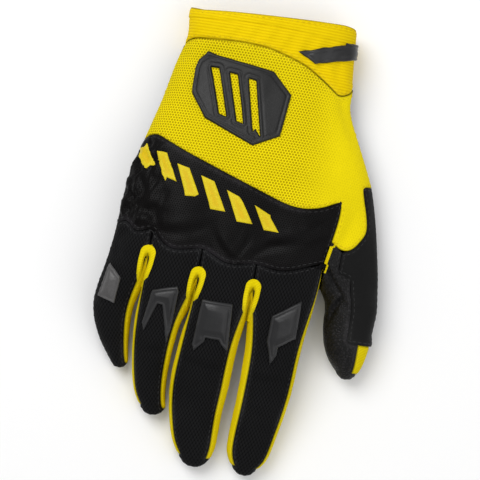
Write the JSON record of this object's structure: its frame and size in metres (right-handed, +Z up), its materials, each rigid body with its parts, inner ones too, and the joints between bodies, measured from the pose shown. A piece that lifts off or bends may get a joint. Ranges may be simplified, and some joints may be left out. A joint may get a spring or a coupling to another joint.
{
  "type": "motocross glove",
  "caption": "Right-hand motocross glove with a knitted cuff, mesh back, knuckle panel, finger guards and leather palm, lying palm down.",
  "frame": {"origin": "middle of the glove's footprint on the surface it lies on", "axes": "+Z up through the back of the hand, +Y from the fingertips to the cuff, +X towards the thumb"},
  "size_m": [0.147, 0.2402, 0.0402],
  "materials": {
    "cuff_knit": "ribbed elastic knit",
    "air_mesh": "perforated polyester mesh",
    "knuckle_cloth": "embossed stretch cloth",
    "finger_knit": "stretch knit",
    "side_knit": "fine stretch knit",
    "thumb_cloth": "smooth woven cloth",
    "palm_leather": "synthetic leather",
    "moulded_rubber": "moulded, semi-gloss",
    "raised_print": "smooth raised print"
  },
  "bodies": {
    "root": {"cuff_band": "cuff_knit", "back_mesh": "air_mesh", "knuckle_panel": "knuckle_cloth", "pinky_back": "finger_knit", "ring_back": "finger_knit", "middle_back": "finger_knit", "index_back": "finger_knit", "web_pinky_ring": "side_knit", "web_ring_middle": "side_knit", "web_middle_index": "side_knit", "index_side_strip": "side_knit", "thumb_outer": "thumb_cloth", "thumb_inner": "palm_leather", "thumb_gusset": "side_knit", "palm": "palm_leather", "pinky_guard": "moulded_rubber", "ring_guard": "moulded_rubber", "middle_guard": "moulded_rubber", "index_guard": "moulded_rubber", "wrist_tab": "moulded_rubber", "back_plate": "moulded_rubber", "slash_1": "raised_print", "slash_2": "raised_print", "slash_3": "raised_print", "slash_4": "raised_print", "slash_5": "raised_print", "slash_6": "raised_print"}
  },
  "joints": []
}
